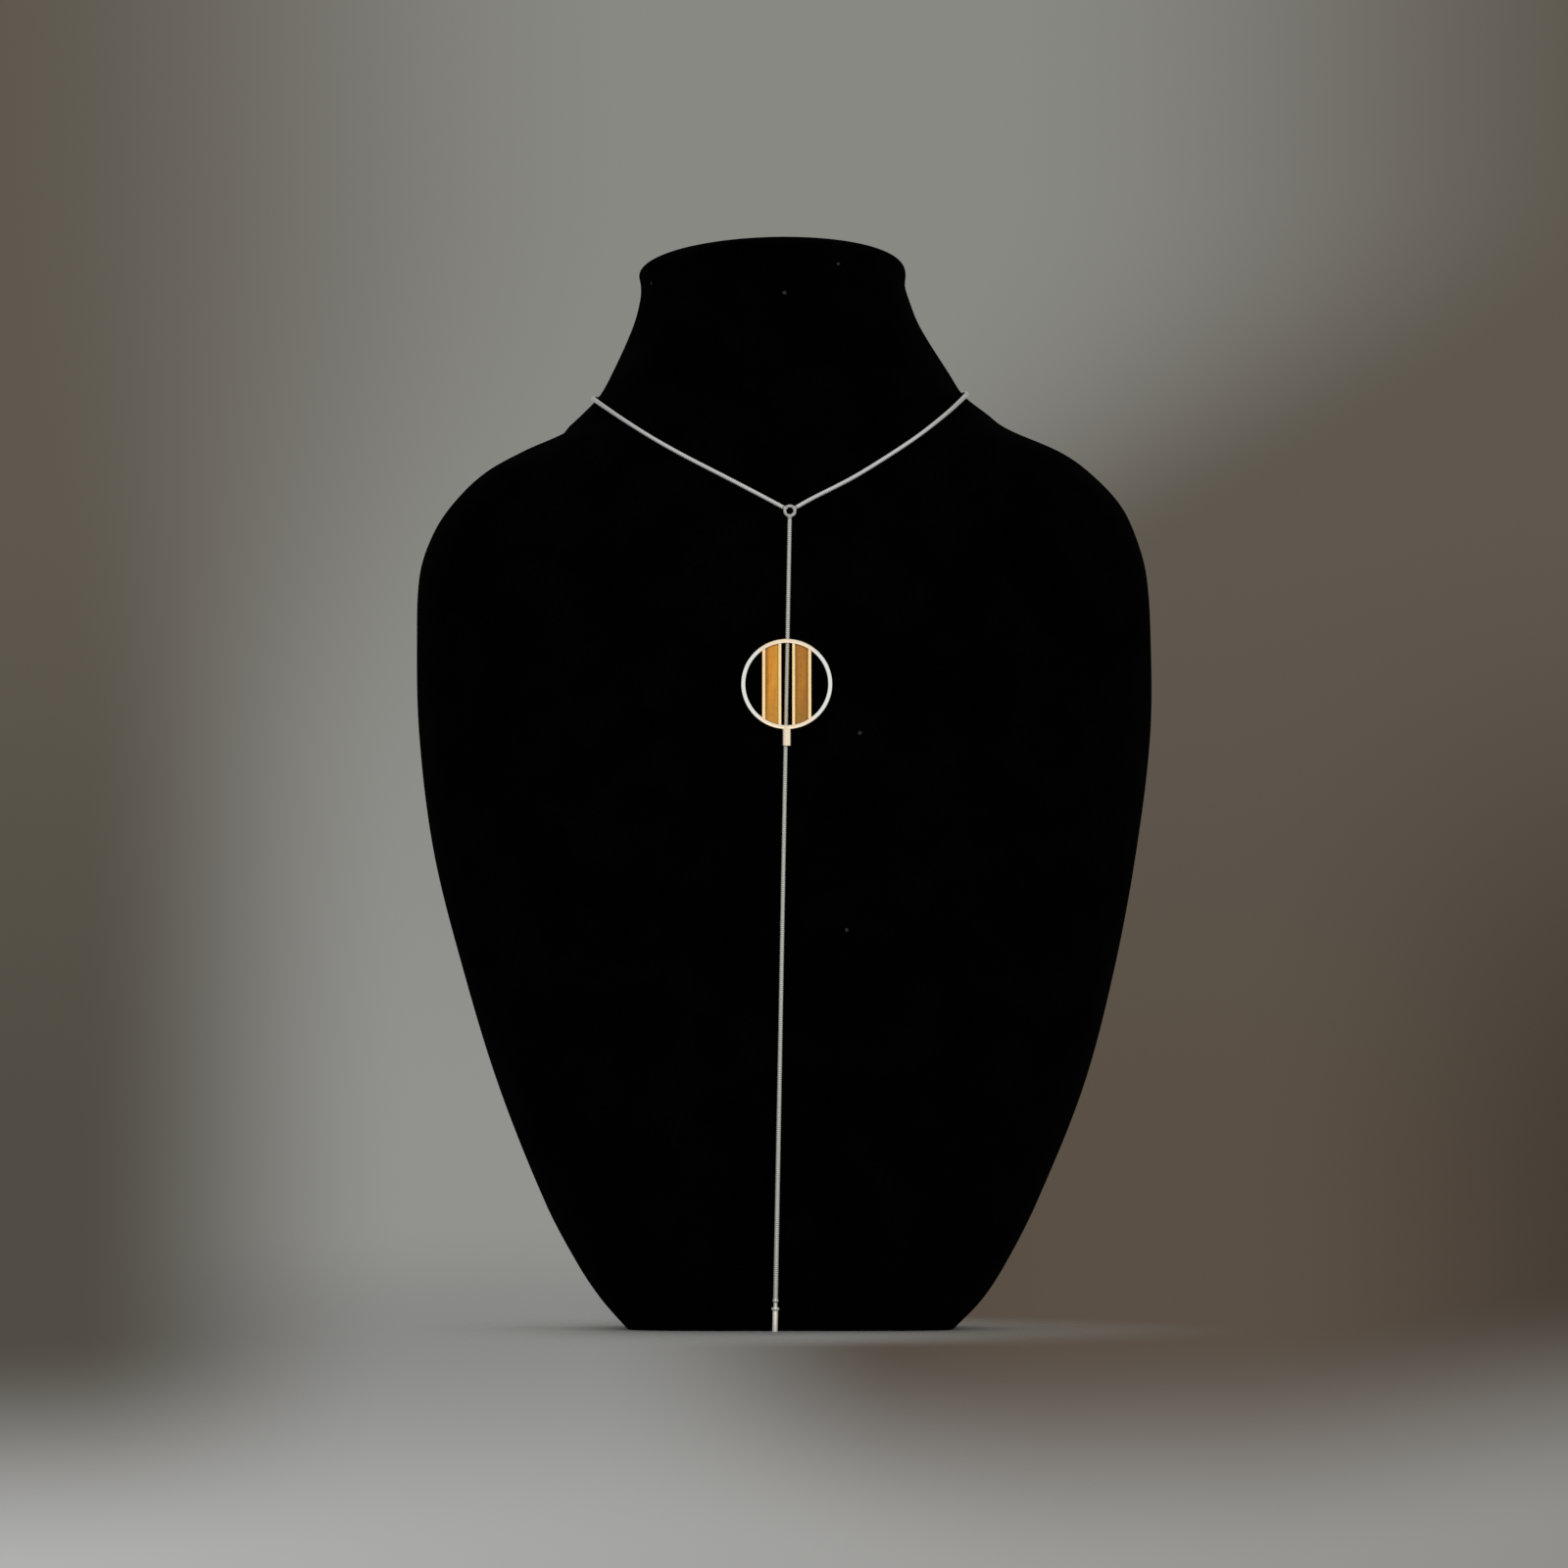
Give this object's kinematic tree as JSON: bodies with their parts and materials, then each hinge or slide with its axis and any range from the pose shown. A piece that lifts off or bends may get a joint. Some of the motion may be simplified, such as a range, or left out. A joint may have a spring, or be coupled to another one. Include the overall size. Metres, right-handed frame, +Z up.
{
  "type": "lariat necklace on neck bust display",
  "caption": "Silver snake-chain lariat necklace with a sliding round pendant inlaid with amber-brown stone, shown on a plain black velvet neck bust.",
  "frame": {"origin": "centre of the bounding box at its bottom, on the table under the bust", "axes": "+Z up, -Y towards the viewer in front of the bust, +X to the viewer's right"},
  "size_m": [0.3002, 0.1363, 0.442],
  "materials": {
    "black_velvet": "deep black velvet over a rigid form",
    "silver_chain": "polished silver snake chain",
    "silver_fittings": "polished silver",
    "silver_frame": "polished silver with softly rounded edges",
    "amber_stone": "polished honey-brown stone with fine upright bands"
  },
  "bodies": {
    "display": {"neck_bust": "black_velvet", "neck_chain_left": "silver_chain", "neck_chain_right": "silver_chain", "clasp": "silver_fittings", "junction_ring": "silver_fittings", "drop_chain": "silver_chain", "end_tube": "silver_fittings"},
    "pendant": {"pendant_frame": "silver_frame", "inlay_left": "amber_stone", "inlay_right": "amber_stone"}
  },
  "joints": [
    {"name": "pendant_slide", "type": "slide", "parent": "display", "child": "pendant", "axis": [0.018, 0, 0.9998], "range_m": [-0.213, 0.047]}
  ]
}
